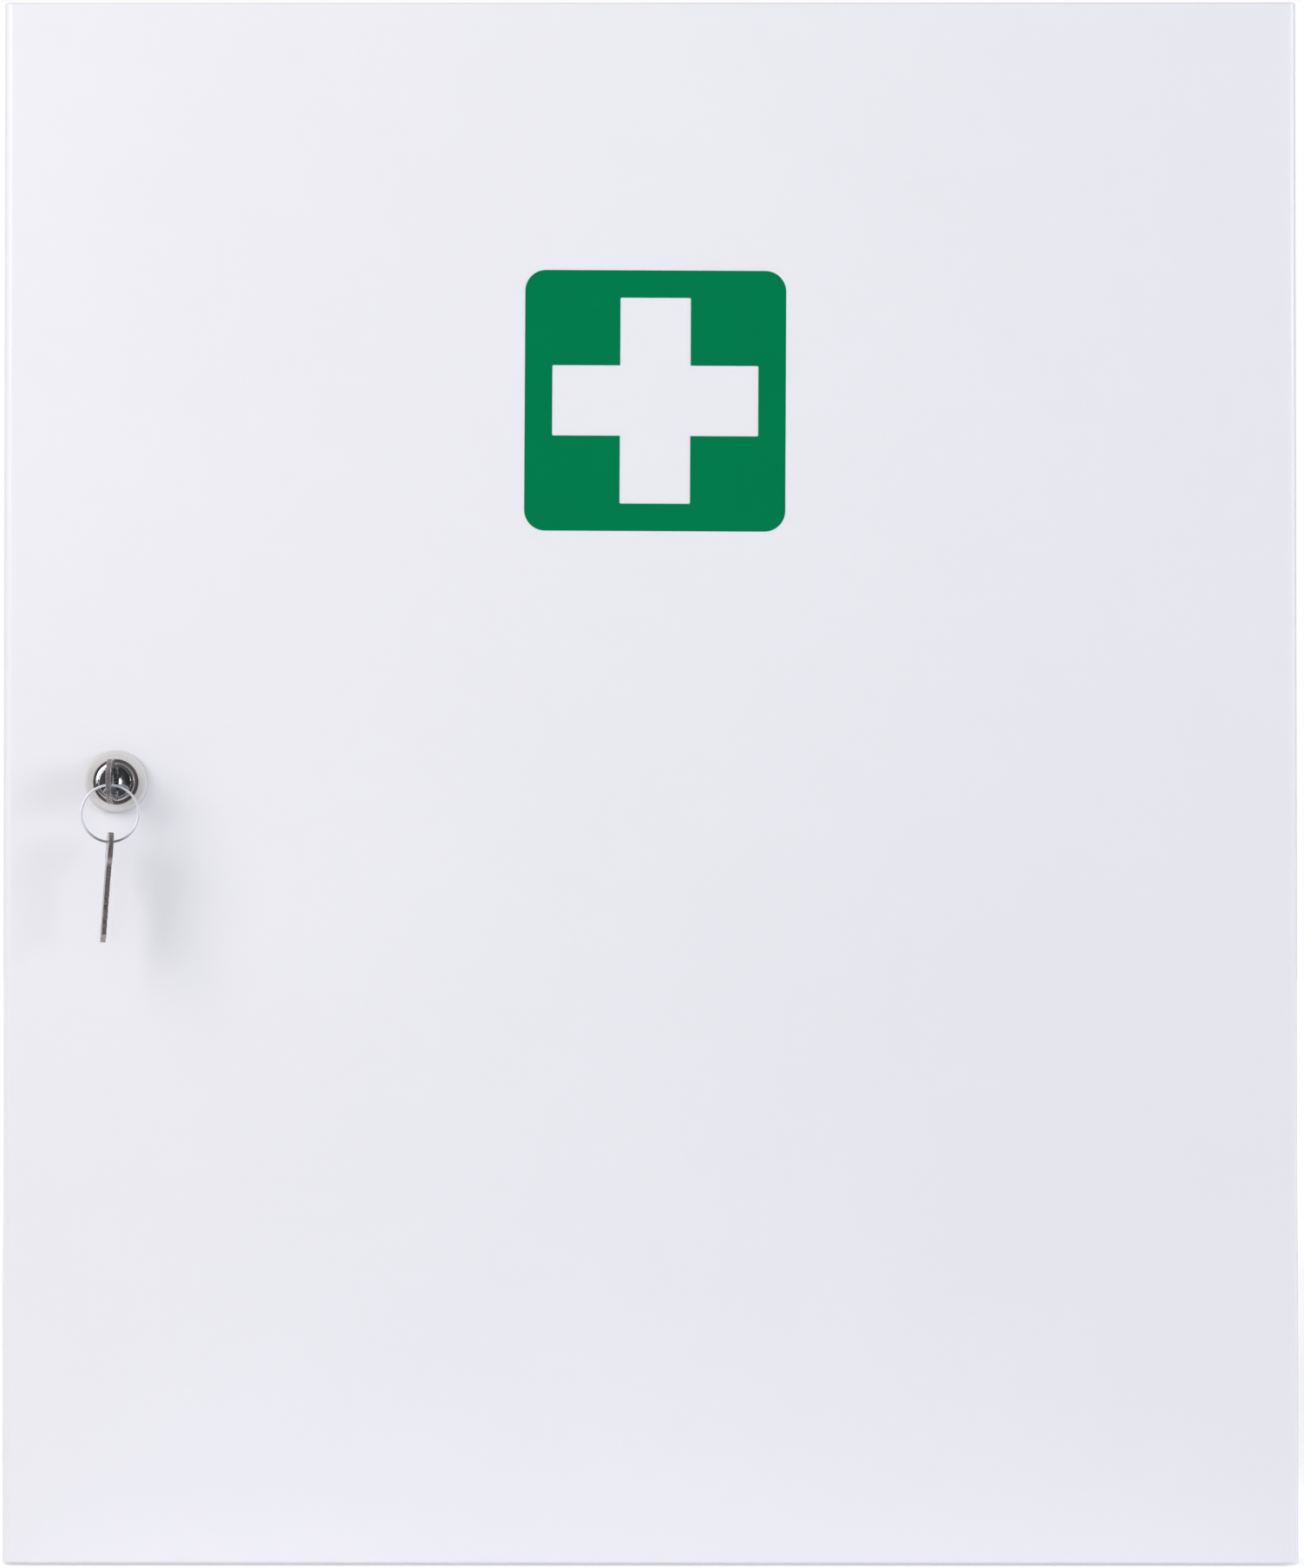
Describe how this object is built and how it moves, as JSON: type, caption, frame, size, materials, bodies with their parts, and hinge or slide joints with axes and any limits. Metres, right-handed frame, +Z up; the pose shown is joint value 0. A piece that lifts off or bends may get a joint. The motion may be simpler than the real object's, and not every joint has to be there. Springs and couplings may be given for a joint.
{
  "type": "lockable medicine cabinet",
  "caption": "Wall cabinet of folded white steel with loose shelves, a tray door on concealed pins, and a cam lock with keys on a ring.",
  "frame": {"origin": "centre of the four wall fixing holes, on the rear panel's rear face", "axes": "+X to the right seen from the front, +Y into the wall, +Z up; the door faces -Y"},
  "size_m": [0.5, 0.2271, 0.6],
  "materials": {
    "powder_coat": "glossy white powder coat with a fine orange peel",
    "zinc_plate": "bright zinc plate",
    "chrome_plate": "polished chrome plate",
    "trim_satin": "pale satin finish",
    "key_metal": "nickel plate, worn on the edges",
    "rubber_black": "matt moulded rubber",
    "nylon_white": "matt moulded nylon",
    "label_green": "glossy printed film"
  },
  "bodies": {
    "case": {"case_shell": "powder_coat", "rear_panel": "powder_coat", "shelf_upper": "powder_coat", "shelf_middle": "powder_coat", "shelf_lower": "powder_coat", "shelf_uprights": "zinc_plate", "shelf_clips": "zinc_plate", "lock_strike": "zinc_plate", "door_buffers": "rubber_black", "hinge_bracket_top": "zinc_plate", "hinge_bracket_bottom": "zinc_plate", "hinge_pin_top": "chrome_plate", "hinge_pin_bottom": "chrome_plate"},
    "door": {"door_panel": "powder_coat", "door_stiffener": "powder_coat", "hinge_bush_top": "nylon_white", "hinge_bush_bottom": "nylon_white", "first_aid_label": "label_green", "lock_trim_ring": "trim_satin", "lock_housing": "chrome_plate", "lock_washer": "zinc_plate", "lock_nut": "zinc_plate"},
    "plug": {"lock_plug": "chrome_plate", "wafer_tumblers": "key_metal", "lock_cam": "zinc_plate", "cam_washer": "zinc_plate", "cam_screw": "zinc_plate"},
    "key": {"key": "key_metal"},
    "ring": {"key_ring": "chrome_plate"},
    "spare": {"spare_key": "key_metal"}
  },
  "joints": [
    {"name": "door_hinge", "type": "hinge", "parent": "case", "child": "door", "pos_m": [0.2425, -0.191, 0], "axis": [0, 0, 1], "range_deg": [0, 110]},
    {"name": "lock_turn", "type": "hinge", "parent": "door", "child": "plug", "pos_m": [-0.2041, -0.19, -0.0003], "axis": [0, 1, 0], "range_deg": [0, 90]},
    {"name": "key_pull", "type": "slide", "parent": "plug", "child": "key", "axis": [0, -1, 0], "range_m": [0, 0.026]},
    {"name": "ring_swing", "type": "hinge", "parent": "key", "child": "ring", "pos_m": [-0.2041, -0.21856, -0.0017], "axis": [-1, 0, 0], "range_deg": [-6, 70]},
    {"name": "spare_swing", "type": "hinge", "parent": "ring", "child": "spare", "pos_m": [-0.2041, -0.21856, -0.0232], "axis": [-1, 0, 0], "range_deg": [-6, 60]}
  ]
}
